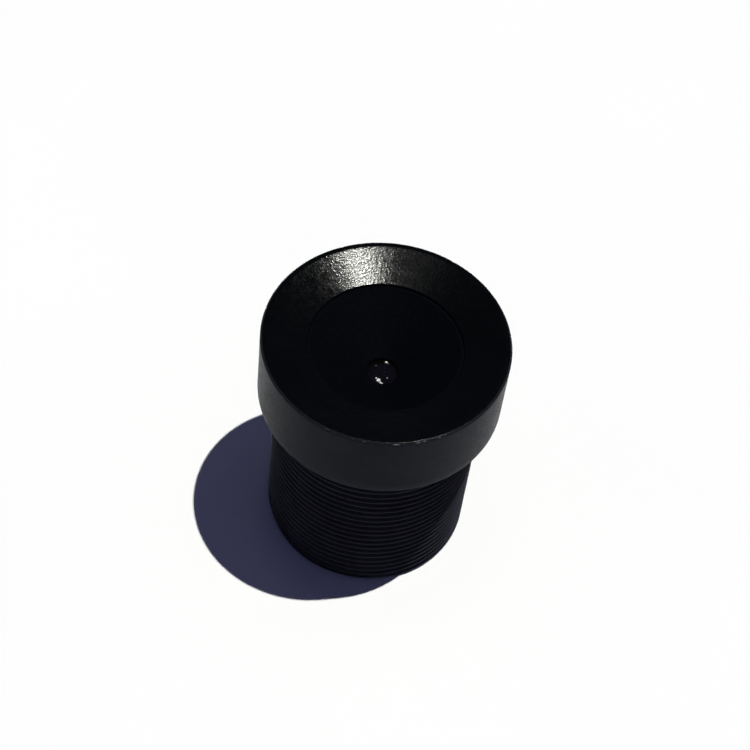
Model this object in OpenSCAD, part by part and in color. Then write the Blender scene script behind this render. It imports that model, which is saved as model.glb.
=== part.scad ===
// Board camera lens with an M12 fine thread, standing on its rear face.
// The optical axis is +Z, the origin is the middle of the rear face, and sizes are in millimetres.
// One turned barrel holds five glass elements, their spacers, a fixed stop and a rear filter.
// The small front element drops into the barrel's inner web and a funnel-faced ring holds it.
// The other glass goes in from behind, each piece wider than the last, under a slotted ring.

/* [Head] */
// Diameter of the head
head_d = 14; // [13:0.1:16]
// Height of the head above its shoulder
head_h = 4.7; // [4.4:0.1:7]
// Width of the flat land round the rim
rim_land = 0.35; // [0.1:0.05:0.5]
// Depth of the dished face below the rim
dish_depth = 0.71; // [0.4:0.01:1]
// Diameter of the dished face's inner edge
dish_d = 8.8; // [8.2:0.1:9.4]
// Distance from the dished face's inner edge down to the front ring
ring_inset = 0.12; // [0.05:0.01:0.3]
// Bevel on the head's two outer edges
head_bevel = 0.1; // [0.05:0.01:0.3]

/* [Threaded tube] */
// Major diameter of the thread
thread_d = 12; // [11:0.1:12.6]
// Pitch of the thread
thread_pitch = 0.5; // [0.35:0.05:0.75]
// Length of the tube from the rear face to the head's shoulder
tube_len = 11.5; // [11:0.5:16]
// Width of the thread's run-out groove under the head
groove_w = 0.45; // [0.3:0.05:1.2]
// Bevel on the tube's rear inner edge
rear_bevel = 0.15; // [0.05:0.05:0.3]

/* [Front ring] */
// Width of the front ring's flat land
ring_land = 0.15; // [0.05:0.05:0.4]
// Depth of the funnel from the land to the edge of its hole
funnel_depth = 2.15; // [1.8:0.05:2.4]
// Diameter of the hole at the bottom of the funnel
funnel_hole_d = 1.8; // [1.4:0.1:2.6]

/* [Front element] */
// Diameter of the front element
front_d = 4.4; // [4:0.1:4.8]
// Thickness of the front element on the axis
front_t = 1.6; // [1.5:0.1:2]
// Radius of its domed front face
front_face_r = 2.6; // [2.45:0.05:3.2]
// Radius of its hollow rear face
front_hollow_r = 5; // [4:0.1:9]
// Diameter of the hollow's mouth
front_hollow_d = 3.4; // [2.8:0.1:3.5]
// Height of the dome's top above the edge of the funnel's hole
front_proud = -0.02; // [-0.1:0.01:0]

/* [Web and stop] */
// Thickness of the web's ledge under the front element
web_t = 0.4; // [0.3:0.05:0.8]
// Height of the pocket's mouth above the front element's edge
pocket_rise = 0.18; // [0.05:0.01:0.3]
// Thickness of the stop plate
stop_t = 0.08; // [0.05:0.01:0.2]
// Diameter of the stop's hole
stop_hole_d = 1.6; // [1:0.1:2.6]

/* [Second element] */
// Air between the stop plate and the second element on the axis
second_air = 0.4; // [0.2:0.05:0.6]
// Diameter of the second element
second_d = 5.6; // [5.2:0.1:5.8]
// Thickness of the second element on the axis
second_t = 2; // [1.8:0.1:2.3]
// Radius of its front face
second_front_r = 7; // [6:0.1:12]
// Radius of its rear face
second_rear_r = 5; // [4.6:0.1:9]

/* [Cemented pair] */
// Air between the second and third elements on the axis
pair_air = 0.3; // [0.15:0.05:0.5]
// Width added to the second element's diameter for the third and fourth elements
pair_step = 0.8; // [0.6:0.1:1]
// Thickness of the third element on the axis
third_t = 2.5; // [2.3:0.1:2.8]
// Radius of the third element's front face
third_front_r = 7; // [6.4:0.1:12]
// Radius of the cemented face
cement_r = 4.6; // [4.4:0.1:7]
// Thickness of the fourth element on the axis
fourth_t = 0.7; // [0.5:0.1:1]
// Radius of the fourth element's rear face
fourth_rear_r = 16; // [12:0.5:40]

/* [Fifth element] */
// Air between the fourth and fifth elements on the axis
fifth_air = 0.4; // [0.3:0.05:0.6]
// Width added to the pair's diameter for the fifth element
fifth_step = 0.8; // [0.6:0.1:1]
// Thickness of the fifth element on the axis
fifth_t = 1.9; // [1.7:0.1:2.2]
// Radius of its front face
fifth_front_r = 8; // [7.4:0.1:14]
// Radius of its rear face
fifth_rear_r = 11; // [9:0.5:30]

/* [Spacers and rings] */
// Height of the flange on the middle spacer
middle_flange_h = 0.4; // [0.3:0.05:0.5]
// Height of the flange on the rear spacer
rear_flange_h = 0.5; // [0.3:0.05:0.6]
// Width of the face with which a spacer touches its glass
seat_w = 0.6; // [0.4:0.05:0.8]
// Width added to the fifth element's diameter for the rear ring's thread
ring_step = 0.8; // [0.6:0.1:1.2]
// Height of the rear ring
ring_h = 1; // [0.7:0.1:1.4]
// Width of the spanner slots in the rear ring
slot_w = 0.7; // [0.4:0.1:1.2]
// Depth of the spanner slots
slot_depth = 0.4; // [0.2:0.05:0.6]

/* [Rear filter] */
// Width added to the rear ring's diameter for the filter
filter_step = 0.8; // [0.5:0.1:1.4]
// Thickness of the filter
filter_t = 0.3; // [0.2:0.05:0.5]
// Depth of the filter's rear face above the tube's rear face
filter_recess = 0.8; // [0.4:0.1:1]

/* [Fits] */
// Radial clearance of the glass, spacers and plate in their bores
bore_clearance = 0.02; // [0.01:0.005:0.05]
// Gap where a spacer's edge meets a curved glass face
seat_gap = 0.01; // [0.005:0.005:0.03]
// Gap that keeps a flange or ring off the barrel's step
step_gap = 0.04; // [0.02:0.01:0.08]
// Bevel ground on the edges of the glass
glass_bevel = 0.08; // [0.04:0.01:0.12]
// Bevel on the edges of the spacers and rings
ring_bevel = 0.05; // [0.03:0.01:0.08]

/* [Hidden] */
$fn = 128;

// Height that a sphere of radius face_r falls in going out to radius r
function sag(face_r, r) = face_r - sqrt(face_r * face_r - r * r);

// An external metric thread: depth, flat on its crests and rise of its 30 degree flanks
thread_depth = 0.6134 * thread_pitch;
crest_w = thread_pitch / 8;
flank_h = thread_depth * tan(30);
// The cuts run past the faces that they open by this much
past = 1;

// Radii
head_r = head_d / 2;
dish_r = dish_d / 2;
thread_r = thread_d / 2;
groove_r = thread_r - thread_depth - 0.04;
root_r = thread_r - thread_depth;
lead_in = thread_depth - 0.05;
// Ridges that fit between the lead-in and the run-out groove
ridge_count = 1 + floor((tube_len - groove_w - lead_in - crest_w - flank_h) / thread_pitch);
front_ring_r = dish_r - bore_clearance;
funnel_hole_r = funnel_hole_d / 2;
front_r = front_d / 2;
hollow_r = front_hollow_d / 2;
second_r = second_d / 2;
pair_r = second_r + pair_step / 2;
fifth_r = pair_r + fifth_step / 2;
ring_r = fifth_r + ring_step / 2;
filter_r = ring_r + filter_step / 2;

// Radii at which the spacers and the rear ring touch the glass
second_seat_r = second_r - seat_w;
pair_seat_r = pair_r - seat_w;
fifth_seat_r = fifth_r - seat_w;

// Heights along the axis, from the rim down to the rear face
rim_z = tube_len + head_h;
dish_z = rim_z - dish_depth;

// Front ring, its funnel and the dome of the front element in its hole
ring_front_z = dish_z - ring_inset;
funnel_z = ring_front_z - funnel_depth;
front_z = funnel_z + front_proud;
front_edge_z = front_z - sag(front_face_r, front_r);
hollow_z = front_z - front_t;
front_back_z = hollow_z - sag(front_hollow_r, hollow_r);
pocket_z = front_edge_z + pocket_rise;
ring_back_z = pocket_z + step_gap;

// Stop plate on the rear of the web's ledge
stop_z = front_back_z - web_t;
stop_back_z = stop_z - stop_t;

// Second element and the spacer in front of it
second_z = stop_back_z - second_air;
second_back_z = second_z - second_t;
front_spacer_z = second_z - sag(second_front_r, second_seat_r) + seat_gap;

// Cemented pair and the spacer in front of it
middle_top_z = second_back_z + sag(second_rear_r, second_seat_r) - seat_gap;
third_z = second_back_z - pair_air;
cement_z = third_z - third_t;
fourth_back_z = cement_z - fourth_t;
middle_spacer_z = third_z - sag(third_front_r, pair_seat_r) + seat_gap;
middle_flange_z = middle_spacer_z + middle_flange_h;
middle_step_z = middle_flange_z + step_gap;

// Fifth element, the spacer in front of it and the ring behind it
rear_top_z = fourth_back_z + sag(fourth_rear_r, pair_seat_r) - seat_gap;
fifth_z = fourth_back_z - fifth_air;
fifth_back_z = fifth_z - fifth_t;
rear_spacer_z = fifth_z - sag(fifth_front_r, fifth_seat_r) + seat_gap;
rear_flange_z = rear_spacer_z + rear_flange_h;
rear_step_z = rear_flange_z + step_gap;
ring_bore_z = fifth_back_z + sag(fifth_rear_r, fifth_r) + step_gap;
ring_top_z = fifth_back_z + sag(fifth_rear_r, fifth_seat_r) - seat_gap;
ring_z = ring_top_z - ring_h;

// Filter, cemented against the step of its recess
filter_seat_z = filter_recess + filter_t;

// Disc or ring with its rear and front outer edges bevelled
module turned_disc(r, z0, z1, rear_cut, front_cut, hole_r = 0)
    rotate_extrude()
        polygon([
            [hole_r, z0],
            [r - rear_cut, z0],
            [r, z0 + rear_cut],
            [r, z1 - front_cut],
            [r - front_cut, z1],
            [hole_r, z1],
        ]);

// Ball whose highest point is at the height z
module ball_below(face_r, z)
    translate([0, 0, z - face_r])
        sphere(face_r);

// Ball whose lowest point is at the height z
module ball_above(face_r, z)
    translate([0, 0, z + face_r])
        sphere(face_r);

// Glass with two bulging faces, from its front point to its rear point
module biconvex(r, z_front, z_rear, front_face_r, rear_face_r)
    intersection() {
        translate([0, 0, z_rear])
            cylinder(r = r, h = z_front - z_rear);
        ball_below(front_face_r, z_front);
        ball_above(rear_face_r, z_rear);
    }

// Ring with a neck in front and a wider flange behind, bored with a taper
module flanged_spacer(neck_r, neck_seat_r, z_front, z_flange, flange_r, flange_seat_r, z_rear)
    rotate_extrude()
        polygon([
            [neck_seat_r, z_front],
            [neck_r - ring_bevel, z_front],
            [neck_r, z_front - ring_bevel],
            [neck_r, z_flange],
            [flange_r - ring_bevel, z_flange],
            [flange_r, z_flange - ring_bevel],
            [flange_r, z_rear + ring_bevel],
            [flange_r - ring_bevel, z_rear],
            [flange_seat_r, z_rear],
        ]);

// Outline of one ridge of the thread, up from the crest's lower edge at the height z
function ridge(z) = [
    [thread_r, z],
    [thread_r, z + crest_w],
    [root_r, z + crest_w + flank_h],
];

// Outline of the threaded length, each ridge rising from the root behind the last one
function thread_outline() = [
    for (i = [0:ridge_count - 1])
        let (z = lead_in + i * thread_pitch)
        each concat(i == 0 ? [] : [[root_r, z - flank_h]], ridge(z))
];

// Outside of the barrel: thread with lead-in and run-out groove, head and dished face
module barrel_outside()
    rotate_extrude()
        polygon([
            [0, 0],
            [thread_r - lead_in, 0],
            each thread_outline(),
            [root_r, tube_len - groove_w],
            [groove_r, tube_len - groove_w],
            [groove_r, tube_len],
            [head_r - head_bevel, tube_len],
            [head_r, tube_len + head_bevel],
            [head_r, rim_z - head_bevel],
            [head_r - head_bevel, rim_z],
            [head_r - rim_land, rim_z],
            [dish_r, dish_z],
            [0, dish_z],
        ]);

// Stepped bore: front ring, pocket, ledge, and four bores that widen to the rear
module barrel_bore()
    rotate_extrude()
        polygon([
            [0, dish_z + past],
            [dish_r, dish_z + past],
            [dish_r, pocket_z],
            [front_r + bore_clearance, pocket_z],
            [front_r + bore_clearance, front_back_z],
            [hollow_r, front_back_z],
            [hollow_r, stop_z],
            [second_r + bore_clearance, stop_z],
            [second_r + bore_clearance, middle_step_z],
            [pair_r + bore_clearance, middle_step_z],
            [pair_r + bore_clearance, rear_step_z],
            [fifth_r + bore_clearance, rear_step_z],
            [fifth_r + bore_clearance, ring_bore_z],
            [ring_r + bore_clearance, ring_bore_z],
            [ring_r + bore_clearance, filter_seat_z],
            [filter_r + bore_clearance, filter_seat_z],
            [filter_r + bore_clearance, rear_bevel],
            [filter_r + bore_clearance + rear_bevel, 0],
            [filter_r + bore_clearance + rear_bevel, -past],
            [0, -past],
        ]);

module barrel()
    color([0.07, 0.075, 0.08])
        difference() {
            barrel_outside();
            barrel_bore();
        }

// Ring with a funnel in front and a seat ground to the dome behind
module front_ring()
    color([0.05, 0.05, 0.055])
        difference() {
            rotate_extrude()
                polygon([
                    [funnel_hole_r, funnel_z],
                    [front_ring_r - ring_land, ring_front_z],
                    [front_ring_r, ring_front_z],
                    [front_ring_r, ring_back_z + ring_bevel],
                    [front_ring_r - ring_bevel, ring_back_z],
                    [funnel_hole_r, ring_back_z],
                ]);
            ball_below(front_face_r + seat_gap, front_z + seat_gap);
        }

module front_element()
    color([0.35, 0.3, 0.5, 0.6])
        difference() {
            intersection() {
                turned_disc(front_r, front_back_z, front_z, glass_bevel, 0);
                ball_below(front_face_r, front_z);
            }
            ball_below(front_hollow_r, hollow_z);
        }

module stop_plate()
    color([0.3, 0.25, 0.12])
        difference() {
            translate([0, 0, stop_back_z])
                cylinder(r = second_r, h = stop_t);
            translate([0, 0, stop_back_z - past])
                cylinder(d = stop_hole_d, h = stop_t + 2 * past);
        }

// Ring that keeps the second element off the stop plate
module front_spacer()
    color([0.12, 0.12, 0.13])
        turned_disc(second_r, front_spacer_z, stop_back_z, ring_bevel, ring_bevel, second_seat_r);

module second_element()
    color([0.4, 0.5, 0.5, 0.6])
        biconvex(second_r, second_z, second_back_z, second_front_r, second_rear_r);

// Ring whose neck carries the second element and whose flange rests on the third
module middle_spacer()
    color([0.16, 0.16, 0.17])
        flanged_spacer(second_r, second_seat_r, middle_top_z, middle_flange_z,
                       pair_r, pair_seat_r, middle_spacer_z);

module third_element()
    color([0.45, 0.5, 0.55, 0.6])
        biconvex(pair_r, third_z, cement_z, third_front_r, cement_r);

// Cemented behind the third element, with a matching hollow
module fourth_element()
    color([0.55, 0.5, 0.4, 0.6])
        difference() {
            intersection() {
                turned_disc(pair_r, fourth_back_z, cement_z + sag(cement_r, pair_r),
                            glass_bevel + sag(fourth_rear_r, pair_r), glass_bevel);
                ball_above(fourth_rear_r, fourth_back_z);
            }
            ball_above(cement_r, cement_z);
        }

// Ring whose neck carries the cemented pair and whose flange rests on the fifth element
module rear_spacer()
    color([0.12, 0.12, 0.13])
        flanged_spacer(pair_r, pair_seat_r, rear_top_z, rear_flange_z,
                       fifth_r, fifth_seat_r, rear_spacer_z);

module fifth_element()
    color([0.4, 0.5, 0.45, 0.6])
        biconvex(fifth_r, fifth_z, fifth_back_z, fifth_front_r, fifth_rear_r);

// Threaded ring that clamps the rear group, with two spanner slots
module rear_ring()
    color([0.14, 0.14, 0.15])
        difference() {
            turned_disc(ring_r, ring_z, ring_top_z, ring_bevel, ring_bevel, fifth_seat_r);
            translate([-ring_r - past, -slot_w / 2, ring_z - past])
                cube([2 * (ring_r + past), slot_w, slot_depth + past]);
        }

module rear_filter()
    color([0.75, 0.35, 0.4, 0.6])
        turned_disc(filter_r, filter_recess, filter_seat_z, glass_bevel, glass_bevel);

barrel();
front_ring();
front_element();
stop_plate();
front_spacer();
second_element();
middle_spacer();
third_element();
fourth_element();
rear_spacer();
fifth_element();
rear_ring();
rear_filter();
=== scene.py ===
import math

import bmesh
import bpy
import numpy as np
from mathutils import Matrix, Vector


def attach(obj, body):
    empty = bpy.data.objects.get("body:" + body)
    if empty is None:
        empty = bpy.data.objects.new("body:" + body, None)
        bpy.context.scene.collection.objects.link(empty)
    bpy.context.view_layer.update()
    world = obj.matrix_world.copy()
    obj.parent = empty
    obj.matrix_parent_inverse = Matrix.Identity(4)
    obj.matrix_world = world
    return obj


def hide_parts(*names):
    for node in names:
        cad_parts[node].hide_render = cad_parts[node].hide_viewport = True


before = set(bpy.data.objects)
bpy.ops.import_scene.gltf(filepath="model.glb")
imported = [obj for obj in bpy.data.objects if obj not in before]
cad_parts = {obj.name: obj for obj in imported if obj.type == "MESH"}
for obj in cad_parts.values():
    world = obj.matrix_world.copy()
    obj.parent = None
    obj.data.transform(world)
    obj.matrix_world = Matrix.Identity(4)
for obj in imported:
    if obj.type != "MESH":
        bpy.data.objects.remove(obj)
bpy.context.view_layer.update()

MM = 0.001
scene = bpy.context.scene

# Camera, fitted to the outlines of the rim, the shoulder and the tube
FOCAL_PX = 1917.1
PHOTO_PX = 750.0
SENSOR = 36.0
cam = bpy.data.cameras.new("camera")
cam.lens = SENSOR * FOCAL_PX / PHOTO_PX
cam.sensor_width = SENSOR
cam.clip_start = 0.005
cam.clip_end = 20.0
cam_ob = bpy.data.objects.new("camera", cam)
scene.collection.objects.link(cam_ob)
eye = Vector((0.0, -0.06411503, 0.10039348))
right = Vector((0.99026, 0.1144, 0.07934)).normalized()
forward = Vector((-0.00353, 0.5903, -0.80717)).normalized()
upward = right.cross(forward).normalized()
rot = Matrix((right, upward, -forward)).transposed().to_4x4()
cam_ob.matrix_world = Matrix.Translation(eye) @ rot
scene.camera = cam_ob


def material(name):
    """New empty node material, and its node tree."""
    m = bpy.data.materials.new(name)
    m.use_nodes = True
    nt = m.node_tree
    nt.nodes.clear()
    return m, nt


class Nodes:
    """Short calls for building a material from nodes."""

    def __init__(self, nt):
        self.nt = nt

    def add(self, kind, **values):
        n = self.nt.nodes.new(kind)
        for k, v in values.items():
            setattr(n, k, v)
        return n

    def put(self, socket, value):
        if isinstance(value, bpy.types.NodeSocket):
            self.nt.links.new(value, socket)
        else:
            socket.default_value = value

    def coords(self):
        return self.add("ShaderNodeTexCoord").outputs["Object"]

    def math(self, op, a, b=0.0):
        n = self.add("ShaderNodeMath", operation=op)
        self.put(n.inputs[0], a)
        self.put(n.inputs[1], b)
        return n.outputs[0]

    def noise(self, vec, scale, detail=2.0, rough=0.5):
        n = self.add("ShaderNodeTexNoise")
        n.inputs["Scale"].default_value = scale
        n.inputs["Detail"].default_value = detail
        n.inputs["Roughness"].default_value = rough
        self.put(n.inputs["Vector"], vec)
        return n.outputs["Fac"]

    def band(self, value, lo, hi, out_lo=0.0, out_hi=1.0, smooth=True):
        n = self.add("ShaderNodeMapRange")
        n.interpolation_type = "SMOOTHSTEP" if smooth else "LINEAR"
        self.put(n.inputs["Value"], value)
        n.inputs["From Min"].default_value = lo
        n.inputs["From Max"].default_value = hi
        n.inputs["To Min"].default_value = out_lo
        n.inputs["To Max"].default_value = out_hi
        return n.outputs["Result"]

    def mix(self, fac, a, b):
        n = self.add("ShaderNodeMix", data_type="RGBA")
        self.put(n.inputs["Factor"], fac)
        self.put(n.inputs[6], a)
        self.put(n.inputs[7], b)
        return n.outputs[2]

    def split(self, vec):
        n = self.add("ShaderNodeSeparateXYZ")
        self.put(n.inputs[0], vec)
        return n.outputs

    def join(self, x, y, z):
        n = self.add("ShaderNodeCombineXYZ")
        self.put(n.inputs[0], x)
        self.put(n.inputs[1], y)
        self.put(n.inputs[2], z)
        return n.outputs[0]

    def length(self, vec):
        n = self.add("ShaderNodeVectorMath", operation="LENGTH")
        self.put(n.inputs[0], vec)
        return n.outputs["Value"]

    def from_axis(self, vec):
        """Distance from the Z axis, and the height."""
        x, y, z = self.split(vec)
        return self.length(self.join(x, y, 0.0)), z

    def shift(self, vec, by):
        n = self.add("ShaderNodeVectorMath", operation="SUBTRACT")
        self.put(n.inputs[0], vec)
        n.inputs[1].default_value = by
        return n.outputs["Vector"]

    def bump(self, height, strength, distance):
        n = self.add("ShaderNodeBump")
        n.inputs["Strength"].default_value = strength
        n.inputs["Distance"].default_value = distance
        self.put(n.inputs["Height"], height)
        return n.outputs["Normal"]

    def shader(self, color, rough, normal=None, specular=0.5):
        n = self.add("ShaderNodeBsdfPrincipled")
        self.put(n.inputs["Base Color"], color)
        self.put(n.inputs["Roughness"], rough)
        n.inputs["Specular IOR Level"].default_value = specular
        if normal is not None:
            self.put(n.inputs["Normal"], normal)
        return n

    def blend(self, fac, a, b):
        n = self.add("ShaderNodeMixShader")
        self.put(n.inputs[0], fac)
        self.put(n.inputs[1], a)
        self.put(n.inputs[2], b)
        return n.outputs[0]

    def finish(self, shader_socket):
        out = self.add("ShaderNodeOutputMaterial")
        self.put(out.inputs["Surface"], shader_socket)


def grey(v, r=1.0, g=1.0, b=1.0):
    """Colour of one level, tinted by a factor for each channel."""
    return (v * r, v * g, v * b, 1.0)


# Middle of the rim's bevel, where the dye is thin, in mm
LIP_R = 6.945
LIP_Z = 16.145

# Radius of the nicks' bare metal, and how far a nick reaches in and down, in mm
NICK_R = 6.97
NICK_REACH = 0.09

# Nicks in the rim's edge: angle in degrees, height, length along the edge and height of the mark, in mm,
# and how pale the bare metal shows
NICKS = [
    (-111.0, 16.15, 0.20, 0.035, 0.35), (-107.2, 16.16, 0.10, 0.03, 0.25), (-98.6, 16.15, 0.07, 0.03, 0.30),
    (-93.5, 16.14, 0.12, 0.04, 0.50), (-85.6, 16.16, 0.05, 0.03, 0.30), (-79.4, 16.13, 0.24, 0.045, 0.95),
    (-76.0, 16.15, 0.07, 0.03, 0.60), (-69.6, 16.13, 0.20, 0.045, 0.90), (-66.6, 16.14, 0.11, 0.04, 0.70),
    (-59.5, 16.13, 0.09, 0.05, 0.95), (-56.8, 16.15, 0.12, 0.03, 0.40), (-49.5, 15.62, 0.06, 0.05, 0.50),
    (63.0, 16.14, 0.14, 0.05, 0.70), (118.0, 16.15, 0.10, 0.04, 0.60), (171.0, 16.13, 0.12, 0.05, 0.70),
    (12.0, 16.14, 0.09, 0.04, 0.60),
]


def anodised(name, tones, specular, rough_lo, rough_hi, grain_bump, worn, sheen_tint):
    """Black anodised aluminium: a fine etched grain, faint turning marks and worn spots."""
    m, nt = material(name)
    n = Nodes(nt)
    p = n.coords()
    radius, z = n.from_axis(p)
    grain = n.noise(p, 8500.0, 2.0, 0.65)
    coarse = n.noise(p, 2600.0, 2.0, 0.5)
    cloud = n.noise(p, 420.0, 3.0, 0.55)
    # turning marks: noise that hardly changes round the axis
    rings = n.noise(n.join(radius, z, 0.0), 16000.0, 1.0, 0.5)
    base = n.mix(n.band(cloud, 0.35, 0.68), tones[0], tones[1])
    # pale specks where the etch is open
    speck = n.band(grain, 0.60, 0.80, 0.0, 1.0)
    base = n.mix(n.math("MULTIPLY", speck, 0.35), base, tones[2])
    rough = n.math("ADD", n.band(grain, 0.3, 0.7, rough_lo, rough_hi),
                   n.band(coarse, 0.3, 0.7, -0.03, 0.03))
    height = n.math("ADD", grain, n.math("MULTIPLY", coarse, 0.35))
    height = n.math("ADD", height, n.math("MULTIPLY", rings, 0.15))
    normal = n.bump(height, 1.0, grain_bump * MM)
    if worn:
        mask = None
        edge = n.noise(p, 15000.0, 2.0, 0.7)
        for angle, hz, long, tall, pale in NICKS:
            a = math.radians(angle)
            mp = n.add("ShaderNodeMapping", vector_type="TEXTURE")
            n.put(mp.inputs["Vector"], p)
            mp.inputs["Location"].default_value = (
                NICK_R * MM * math.cos(a), NICK_R * MM * math.sin(a), hz * MM)
            mp.inputs["Rotation"].default_value = (0.0, 0.0, a)
            mp.inputs["Scale"].default_value = (NICK_REACH * MM, long * MM, tall * MM)
            d = n.math("ADD", n.length(mp.outputs[0]), n.math("MULTIPLY", edge, 1.8))
            spot = n.band(d, 1.15, 1.9, pale, 0.0)
            mask = spot if mask is None else n.math("MAXIMUM", mask, spot)
        # the dye is thin along the rim's bevel, which is a little paler than the side
        lip = n.length(n.join(n.math("SUBTRACT", radius, LIP_R * MM),
                              n.math("SUBTRACT", z, LIP_Z * MM), 0.0))
        uneven = n.band(n.noise(p, 2600.0, 3.0, 0.6), 0.30, 0.70, 0.45, 1.0)
        thin = n.math("MULTIPLY", n.band(lip, 0.05 * MM, 0.11 * MM, 1.0, 0.0), uneven)
        base = n.mix(thin, base, (0.0125, 0.0140, 0.0165, 1.0))
        base = n.mix(mask, base, (0.150, 0.150, 0.148, 1.0))
    s = n.shader(base, rough, normal, specular)
    s.inputs["Specular Tint"].default_value = sheen_tint
    n.finish(s.outputs[0])
    return m


def tone(v, r, g, b):
    """Darker and paler patch of a dyed surface, and its open specks."""
    return (grey(v * 0.85, r, g, b), grey(v * 1.15, r, g, b), grey(v * 4.0, r, g, b * 0.9))


# tones, specular level, roughness from and to, depth of the grain in mm, worn or not, sheen's tint
# The face, the side and the thread are one anodised finish, and their tones are lit and shaded copies of
# it: the thread's tone is raised to paint in the light and sheen it catches, and the side's and the
# thread's tones are tinted blue to paint in a bluish reflection
face_mat = anodised("black_anodised_face", tone(0.0016, 0.86, 1.08, 1.15),
                    0.165, 0.12, 0.20, 0.0095, True, (1.0, 1.0, 0.97, 1.0))
side_mat = anodised("black_anodised", tone(0.0095, 0.80, 0.94, 1.42),
                    0.025, 0.30, 0.42, 0.0035, True, (0.61, 0.79, 1.0, 1.0))
tube_mat = anodised("black_anodised_thread", tone(0.0235, 0.88, 0.92, 1.25),
                    0.055, 0.40, 0.52, 0.0030, False, (0.8, 0.85, 1.0, 1.0))


def cavity_black(name, tone_v, specular, rough):
    """Matt black turned surface with fine circular tool marks."""
    m, nt = material(name)
    n = Nodes(nt)
    p = n.coords()
    radius, z = n.from_axis(p)
    grain = n.noise(p, 7000.0, 2.0, 0.6)
    marks = n.noise(n.join(radius, z, 0.0), 9000.0, 2.0, 0.6)
    base = n.mix(n.band(grain, 0.35, 0.75), grey(tone_v, 0.85, 1.0, 1.6),
                 grey(tone_v * 1.7, 0.88, 1.0, 1.5))
    r = n.band(marks, 0.3, 0.7, rough - 0.06, rough + 0.06)
    height = n.math("ADD", n.math("MULTIPLY", grain, 0.5), marks)
    s = n.shader(base, r, n.bump(height, 1.0, 0.0025 * MM), specular)
    n.finish(s.outputs[0])
    return m


ring_mat = cavity_black("matt_black_ring", 0.0016, 0.012, 0.62)
spacer_mat = cavity_black("blackened_aluminium", 0.0030, 0.12, 0.50)


def foil():
    """Chemically blackened thin sheet, brownish where it thins."""
    m, nt = material("blackened_foil")
    n = Nodes(nt)
    p = n.coords()
    patch = n.noise(p, 1200.0, 3.0, 0.6)
    fine = n.noise(p, 9000.0, 2.0, 0.6)
    base = n.mix(n.band(patch, 0.35, 0.7), grey(0.006), grey(0.016, 1.15, 1.0, 0.75))
    s = n.shader(base, n.band(fine, 0.3, 0.7, 0.42, 0.6), n.bump(fine, 0.3, 0.004 * MM), 0.2)
    n.finish(s.outputs[0])
    return m


# Share of the front glass that a film of dust hides
DUST_FILM = 0.0025


def glass(name, tint_face, tint_edge, ior, ground, coat=None, specks=()):
    """Polished glass: a coated face whose tint shifts at a slant, and a ground, blackened edge."""
    m, nt = material(name)
    n = Nodes(nt)
    p = n.coords()
    radius = n.from_axis(p)[0]
    weight = n.add("ShaderNodeLayerWeight")
    weight.inputs["Blend"].default_value = 0.35
    tint = n.mix(weight.outputs["Facing"], tint_face, tint_edge)
    dust = n.noise(p, 22000.0, 2.0, 0.7)
    rough = n.band(dust, 0.66, 0.80, 0.0, 0.18)
    body = n.add("ShaderNodeBsdfPrincipled")
    n.put(body.inputs["Base Color"], tint)
    n.put(body.inputs["Roughness"], rough)
    body.inputs["IOR"].default_value = ior
    body.inputs["Transmission Weight"].default_value = 1.0
    if coat:
        body.inputs["Specular Tint"].default_value = coat
    # the edge beyond the clear diameter is ground and painted black
    rim = n.shader(n.mix(n.band(dust, 0.4, 0.7), grey(0.006), grey(0.02)),
                   n.band(dust, 0.3, 0.7, 0.5, 0.7), None, 0.2)
    edge_mask = n.band(radius, ground - 0.01 * MM, ground, 0.0, 1.0, False)
    result = n.blend(edge_mask, body.outputs[0], rim.outputs[0])
    if specks:
        # pale spots painted on the dome as its glints (painted highlights), over the film of dust
        mask = DUST_FILM
        edge = n.noise(p, 26000.0, 2.0, 0.6)
        for px, py, pz, size in specks:
            d = n.length(n.shift(p, (px * MM, py * MM, pz * MM)))
            ragged = n.math("ADD", d, n.math("MULTIPLY", edge, size * 0.9 * MM))
            spot = n.band(ragged, size * MM, size * 1.45 * MM, 1.0, 0.0)
            mask = n.math("MAXIMUM", mask, spot)
        # one pale shader for the film of dust and for the painted glints
        dust_and_glints = n.shader(n.mix(edge, (0.62, 0.61, 0.58, 1), (0.80, 0.79, 0.77, 1)), 0.8, None, 0.3)
        result = n.blend(mask, result, dust_and_glints.outputs[0])
    n.finish(result)
    return m


# Painted glints: pale spots on the dome that paint in its highlights, place on the dome and size, in mm
GLINT_SPECKS = [
    (0.155, 0.745, 13.086, 0.095), (0.270, 0.635, 13.107, 0.030), (-0.400, 0.370, 13.142, 0.022),
    (-0.145, -0.600, 13.126, 0.125), (-0.290, -0.500, 13.135, 0.060), (-0.215, -0.640, 13.111, 0.055),
    (-0.020, -0.730, 13.095, 0.062), (0.080, -0.765, 13.084, 0.050), (0.320, -0.390, 13.151, 0.030),
]
# tint straight on and at a slant, index, radius in metres beyond which the glass is ground, coating
front_glass = glass("coated_front_glass", (0.93, 0.91, 0.96, 1), (0.74, 0.68, 0.82, 1), 1.62, 0.00217,
                    (0.70, 0.58, 0.80, 1), GLINT_SPECKS)
crown = glass("crown_glass", (0.93, 0.98, 0.96, 1), (0.72, 0.86, 0.84, 1), 1.58, 0.0026)
flint = glass("flint_glass", (0.97, 0.96, 0.90, 1), (0.88, 0.84, 0.66, 1), 1.70, 0.00317)
filter_mat = glass("filter_glass", (0.86, 0.60, 0.60, 1), (0.50, 0.78, 0.86, 1), 1.52, 0.00436,
                   (1.0, 0.45, 0.4, 1))
foil_mat = foil()

DRESS = {
    "front_ring": ring_mat,
    "front_element": front_glass,
    "stop_plate": foil_mat,
    "front_spacer": spacer_mat,
    "second_element": crown,
    "middle_spacer": spacer_mat,
    "third_element": crown,
    "fourth_element": flint,
    "rear_spacer": spacer_mat,
    "fifth_element": crown,
    "rear_ring": spacer_mat,
    "rear_filter": filter_mat,
}
for node, mat in DRESS.items():
    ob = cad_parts[node]
    ob.data.materials.clear()
    ob.data.materials.append(mat)

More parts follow.
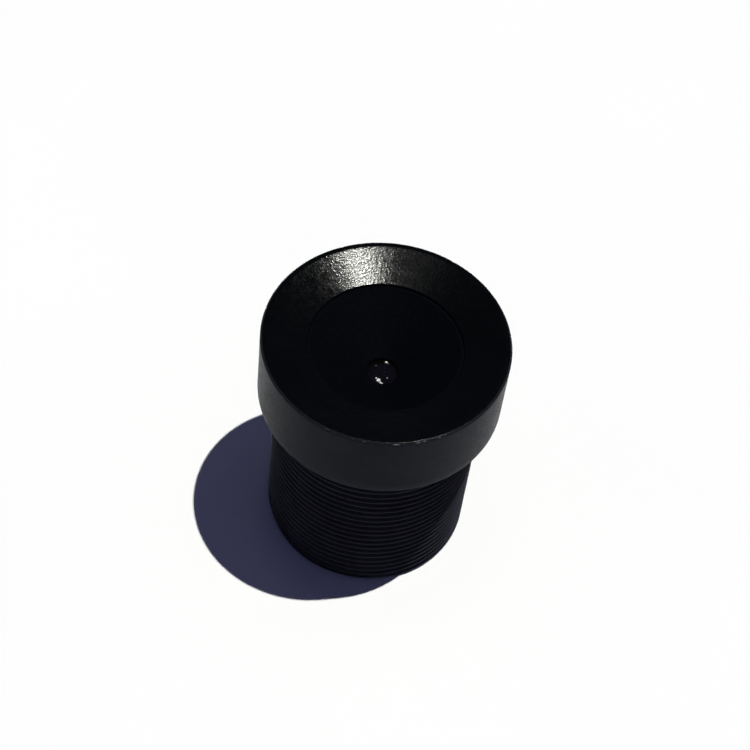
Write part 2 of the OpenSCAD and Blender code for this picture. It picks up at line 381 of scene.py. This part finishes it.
# The barrel's measures, in mm, with SEG steps round the axis and FINE ones at the rim
SEG = 256
FINE = 3 * SEG
PITCH = 0.5
DEPTH = 0.6134 * PITCH
THREAD_R = 6.0
LEAD = DEPTH - 0.05
END_R = THREAD_R - LEAD
GROOVE_R = THREAD_R - DEPTH - 0.04
RUN_OUT = 1.5
TUBE_LEN = 11.5
GROOVE_Z = TUBE_LEN - 0.45
HEAD_R = 7.0
RIM_Z = TUBE_LEN + 4.7
BEVEL = 0.1
LAND = 0.35
DISH_R = 4.4
DISH_Z = RIM_Z - 0.71

# Turns of the thread: height from a crest's middle, and radius
TURN = [
    (-0.196, THREAD_R - 0.290), (-0.066, THREAD_R - 0.058), (-0.034, THREAD_R - 0.012),
    (0.0, THREAD_R), (0.034, THREAD_R - 0.012), (0.066, THREAD_R - 0.058),
    (0.196, THREAD_R - 0.290), (0.218, THREAD_R - DEPTH), (0.282, THREAD_R - DEPTH),
]

# The inside from the dish to the rear end, with the pocket, the ledge and the stepped bores:
# radius and height, in mm
INSIDE = [
    (HEAD_R - LAND - 0.2, RIM_Z - 0.0631), (DISH_R, DISH_Z), (DISH_R, 12.166), (2.22, 12.166),
    (2.22, 11.302), (1.7, 11.302), (1.7, 10.902), (2.82, 10.902), (2.82, 8.071), (3.22, 8.071),
    (3.22, 4.488), (3.62, 4.488), (3.62, 3.268), (4.02, 3.268), (4.02, 1.1), (4.42, 1.1),
    (4.42, 0.15), (4.57, 0.0), (5.0, 0.0), (END_R, 0.0),
]


def rounded(points, r=0.03, steps=3):
    """Profile with each inner corner turned into a short arc."""
    out = [points[0]]
    for a, b, c in zip(points, points[1:], points[2:]):
        a, b, c = map(np.array, (a, b, c))
        u, v = a - b, c - b
        lu, lv = np.linalg.norm(u), np.linalg.norm(v)
        k = min(r, 0.4 * lu, 0.4 * lv)
        p, q = b + u / lu * k, b + v / lv * k
        for i in range(steps + 1):
            t = i / steps
            out.append(tuple((1 - t) ** 2 * p + 2 * t * (1 - t) * b + t * t * q))
    out.append(points[-1])
    return out


def ring_noise(angle, seed, terms=9):
    """Smooth noise round a circle, made of a few waves."""
    rng = np.random.default_rng(seed)
    v = np.zeros_like(angle)
    for _ in range(terms):
        f = int(rng.integers(20, 170))
        v += rng.normal() * np.sin(f * angle + rng.uniform(0, 6.28)) / math.sqrt(terms)
    return v


def band_mesh(rows, verts, faces):
    """Adds quads between rows of equal length that close round the axis."""
    n = len(rows[0])
    first = len(verts)
    for row in rows:
        verts.extend(row)
    for k in range(len(rows) - 1):
        a, b = first + k * n, first + (k + 1) * n
        for i in range(n):
            j = (i + 1) % n
            faces.append((a + i, a + j, b + j, b + i))


def bridge(wide, fine, faces):
    """Joins a row of wide steps to a row with three fine steps to each, from their first vertices."""
    for i in range(SEG):
        j = (i + 1) % SEG
        q = [fine + (3 * i + k) % FINE for k in range(4)]
        faces.append((wide + i, wide + j, q[2], q[1]))
        faces.append((wide + i, q[1], q[0]))
        faces.append((wide + j, q[3], q[2]))


def circle(r, z, n, dr=0.0, dz=0.0):
    """Row of n vertices round the axis, from mm, with an offset for each."""
    a = np.arange(n) * 2 * math.pi / n
    rr, zz = np.full(n, float(r)) + dr, np.full(n, float(z)) + dz
    return [(rr[i] * math.cos(a[i]) * MM, rr[i] * math.sin(a[i]) * MM, zz[i] * MM) for i in range(n)]


def thread_mesh(verts, faces):
    """Threaded length: rows follow the helix and are held between the tube's two ends."""
    part = np.arange(SEG) / SEG
    rows = []
    for turn in range(-2, int(GROOVE_Z / PITCH) + 3):
        for dz, r in TURN:
            z = LEAD + PITCH / 16 + (turn + part) * PITCH + dz
            held = np.clip(z, 0.0, GROOVE_Z)
            rr = np.minimum(r, END_R + held)
            rr = np.minimum(rr, GROOVE_R + RUN_OUT * (GROOVE_Z - held))
            rr = np.where(z <= 0.0, END_R, rr)
            rr = np.where(z >= GROOVE_Z, GROOVE_R, rr)
            rows.append(circle(0.0, 0.0, SEG, rr, held))
    first = len(verts)
    for row in rows:
        verts.extend(row)
    per = len(TURN)
    for k in range(len(rows) - 1):
        a, b = first + k * SEG, first + (k + 1) * SEG
        for i in range(SEG - 1):
            faces.append((a + i, a + i + 1, b + i + 1, b + i))
        # the last column meets the first one a whole turn on
        if k + per + 1 < len(rows):
            faces.append((a + SEG - 1, a + per * SEG, b + per * SEG, b + SEG - 1))


def rim_rows():
    """Fine rows from the head's side over its bevel to the dish, with a rough edge and the nicks."""
    around = np.arange(FINE) * 2 * math.pi / FINE
    soft = rounded([(HEAD_R, RIM_Z - 0.8), (HEAD_R, RIM_Z - BEVEL), (HEAD_R - BEVEL, RIM_Z),
                    (HEAD_R - LAND, RIM_Z), (HEAD_R - LAND - 0.12, RIM_Z - 0.038)])
    profile = [(HEAD_R, RIM_Z - down) for down in (0.7, 0.5, 0.3, 0.2)] + soft[1:]
    rough = np.abs(0.004 * ring_noise(around, 5) + 0.003 * ring_noise(around, 8, 14))
    rows = []
    for r, z in profile:
        from_edge = math.hypot(r - (HEAD_R - 0.03), z - (RIM_Z - 0.03))
        fade = max(0.0, 1.0 - from_edge / 0.14)
        dr = -rough * fade
        dz = -rough * fade * 0.8
        for angle, hz, long, tall, _ in NICKS:
            da = (around - math.radians(angle) + math.pi) % (2 * math.pi) - math.pi
            off = np.sqrt((da * HEAD_R / long) ** 2 + ((z - hz) / NICK_REACH) ** 2
                          + ((r - HEAD_R) / NICK_REACH) ** 2)
            dent = 0.45 * tall * np.clip(1.0 - (off / 1.2) ** 2, 0.0, 1.0)
            dr = dr - dent
            dz = dz - dent * (0.7 if hz > RIM_Z - 0.2 else 0.0)
        rows.append(circle(r, z, FINE, dr, dz))
    return rows


def inside_profile():
    """The inside with soft corners. The dish's cone is cut into rings so that its marks shade evenly."""
    points = rounded(INSIDE, 0.02, 2)
    out = [points[0]]
    for a, b in zip(points, points[1:]):
        if a[1] > DISH_Z and b[1] > DISH_Z - 0.1 and math.hypot(a[0] - b[0], a[1] - b[1]) > 0.5:
            # the last ring is a narrow one at the bore's edge
            for t in (*np.linspace(0, 1, 9)[1:-1], 0.98):
                out.append((a[0] + (b[0] - a[0]) * t, a[1] + (b[1] - a[1]) * t))
        out.append(b)
    return out


def build_barrel():
    """The barrel's closed outside and inside as one mesh, with a material for each kind of surface."""
    verts, faces = [], []
    thread_mesh(verts, faces)

    # run-out groove, the head's shoulder and its side
    shoulder = rounded([(GROOVE_R, GROOVE_Z), (GROOVE_R, TUBE_LEN), (HEAD_R - BEVEL, TUBE_LEN),
                        (HEAD_R, TUBE_LEN + BEVEL), (HEAD_R, TUBE_LEN + 0.6)], 0.025, 2)
    band_mesh([circle(r, z, SEG) for r, z in shoulder], verts, faces)
    band_mesh([circle(HEAD_R, z, SEG) for z in (TUBE_LEN + 0.6, TUBE_LEN + 2.0, RIM_Z - 0.8)], verts, faces)

    # the rim has a finer step, for the nicks
    bridge(len(verts) - SEG, len(verts), faces)
    band_mesh(rim_rows(), verts, faces)
    bridge(len(verts), len(verts) - FINE, faces)
    band_mesh([circle(r, z, SEG) for r, z in inside_profile()], verts, faces)

    me = bpy.data.meshes.new("barrel_turned")
    me.from_pydata(verts, [], faces)
    bm = bmesh.new()
    bm.from_mesh(me)
    bmesh.ops.remove_doubles(bm, verts=bm.verts, dist=2e-7)
    bmesh.ops.dissolve_degenerate(bm, edges=bm.edges, dist=1e-7)
    bmesh.ops.recalc_face_normals(bm, faces=bm.faces)
    bm.to_mesh(me)
    bm.free()
    me.validate()
    for poly in me.polygons:
        poly.use_smooth = True
    me.set_sharp_from_angle(angle=math.radians(44))
    ob = bpy.data.objects.new("barrel_turned", me)
    scene.collection.objects.link(ob)

    for m in (side_mat, face_mat, tube_mat, ring_mat):
        me.materials.append(m)
    face, tube, ring = 1, 2, 3
    for poly in me.polygons:
        c = poly.center / MM
        r = math.hypot(c.x, c.y)
        if c.z > 12.0 and DISH_R + 0.05 < r < HEAD_R - 0.11:
            poly.material_index = face
        elif c.z > 12.0 and r < HEAD_R - 0.5:
            poly.material_index = ring
        elif c.z < TUBE_LEN + 0.05 or r < HEAD_R - 0.5:
            poly.material_index = tube
    return ob


barrel = build_barrel()
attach(barrel, "root")
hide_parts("barrel")


def floor():
    """White floor, open under the lens's rear end; from below it isn't there for the camera."""
    radii = (5.5, 7.5, 11.0, 18.0, 30.0, 60.0, 120.0, 250.0, 600.0)
    verts, faces = [], []
    band_mesh([circle(r, -0.01, 96) for r in radii], verts, faces)
    me = bpy.data.meshes.new("floor")
    me.from_pydata(verts, [], faces)
    m, nt = material("floor_white")
    n = Nodes(nt)
    soft = n.noise(n.coords(), 30.0, 2.0, 0.5)
    paint = n.add("ShaderNodeBsdfDiffuse")
    n.put(paint.inputs["Color"], n.mix(soft, (0.93, 0.93, 0.93, 1), (0.955, 0.955, 0.955, 1)))
    clear = n.add("ShaderNodeBsdfTransparent")
    below = n.add("ShaderNodeNewGeometry").outputs["Backfacing"]
    camera = n.add("ShaderNodeLightPath").outputs["Is Camera Ray"]
    n.finish(n.blend(n.math("MULTIPLY", below, camera), paint.outputs[0], clear.outputs[0]))
    me.materials.append(m)
    if me.polygons[0].normal.z < 0:
        me.flip_normals()
    ob = bpy.data.objects.new("floor", me)
    scene.collection.objects.link(ob)
    return ob


floor()

# Light: a hard key from above, as the photograph's shadow shows it, and three soft lamps
TO_KEY = (0.2171, 0.0583, 1.0)
LAMP_FAR = 0.6
LAMP_AIM = (0.0, 0.0, 0.013)


def face_light(ob, toward):
    """Turns a lamp so that its light comes from the direction given."""
    ob.rotation_mode = "QUATERNION"
    ob.rotation_quaternion = toward.to_track_quat("Z", "Y")


sun = bpy.data.lights.new("key", "SUN")
sun.energy = 3.25
sun.angle = math.radians(0.5)
sun.color = (1.0, 1.0, 0.955)
sun_ob = bpy.data.objects.new("key", sun)
scene.collection.objects.link(sun_ob)
face_light(sun_ob, Vector(TO_KEY).normalized())


def soft_lamp(name, toward, size, energy, tint):
    """Round soft lamp that faces the object from a distance."""
    lamp = bpy.data.lights.new(name, "AREA")
    lamp.shape = "DISK"
    lamp.size = size
    lamp.energy = energy
    lamp.color = tint
    ob = bpy.data.objects.new(name, lamp)
    scene.collection.objects.link(ob)
    d = Vector(toward).normalized()
    ob.location = d * LAMP_FAR + Vector(LAMP_AIM)
    face_light(ob, d)


soft_lamp("overhead", (-0.085, 0.110, 0.990), 0.090, 0.024, (1.0, 0.98, 0.96))
soft_lamp("side", (0.225, 0.281, 0.931), 0.034, 0.005, (0.95, 0.97, 1.0))

# light from below comes in through the floor's opening and reaches the rear end alone
soft_lamp("rear", (0.25, -0.35, -0.90), 0.300, 2.400, (1.0, 1.0, 1.0))

# Background: white for the camera and, near the horizon, for glossy and transmission rays
world = bpy.data.worlds.new("studio")
scene.world = world
world.use_nodes = True
world.node_tree.nodes.clear()
w = Nodes(world.node_tree)
path = w.add("ShaderNodeLightPath").outputs
way = w.add("ShaderNodeTexCoord").outputs["Generated"]
low = w.band(w.math("ABSOLUTE", w.split(way)[2]), 0.03, 0.22, 1.0, 0.0)
mirror = w.math("MAXIMUM", path["Is Glossy Ray"], path["Is Transmission Ray"])
seen = w.math("MAXIMUM", path["Is Camera Ray"], w.math("MULTIPLY", mirror, low))
ambient = w.add("ShaderNodeBackground")
ambient.inputs["Color"].default_value = (0.43, 0.45, 1.0, 1)
ambient.inputs["Strength"].default_value = 0.079
white = w.add("ShaderNodeBackground")
white.inputs["Color"].default_value = (1, 1, 1, 1)
white.inputs["Strength"].default_value = 1.0
out = w.add("ShaderNodeOutputWorld")
w.put(out.inputs["Surface"], w.blend(seen, ambient.outputs[0], white.outputs[0]))

scene.view_settings.view_transform = "Standard"
